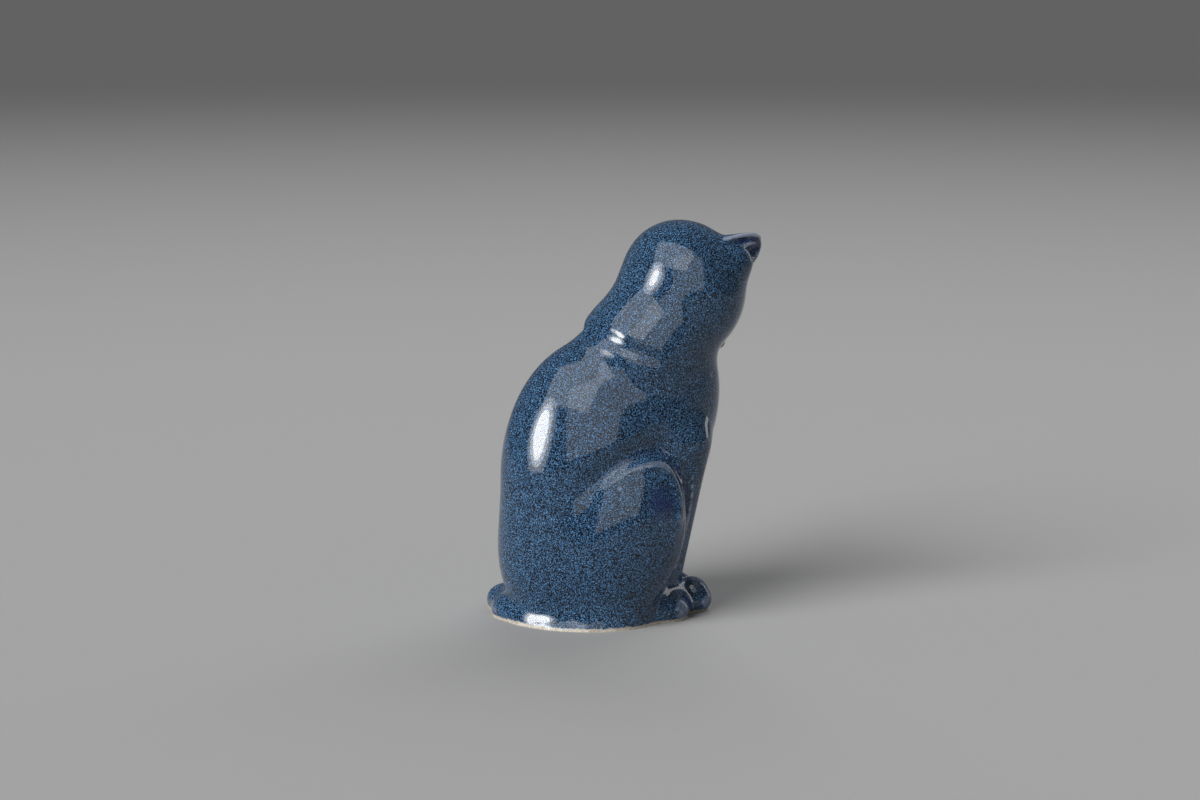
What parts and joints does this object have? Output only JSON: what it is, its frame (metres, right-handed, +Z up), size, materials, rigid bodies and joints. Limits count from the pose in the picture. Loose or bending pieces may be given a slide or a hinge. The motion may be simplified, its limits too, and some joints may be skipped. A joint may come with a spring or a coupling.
{
  "type": "funeral urn",
  "caption": "Hollow glazed stoneware urn in the form of a seated cat with bowed head and tail wrapped round, filled through a stoppered hole in its flat underside",
  "frame": {"origin": "On the ground, under the middle of the part's bounding box", "axes": "+Z is up and runs through the part's height; the cat's chest and front paws face -Y, its own left side is +X"},
  "size_m": [0.1403, 0.1848, 0.265],
  "materials": {
    "glaze": "very glossy denim-blue glaze with dense fine near-black speckle, darker and more violet where it pools, bare pale clay at the foot",
    "rubber": "matt black moulded rubber"
  },
  "bodies": {
    "root": {"urn_body": "glaze", "stopper": "rubber"}
  },
  "joints": []
}
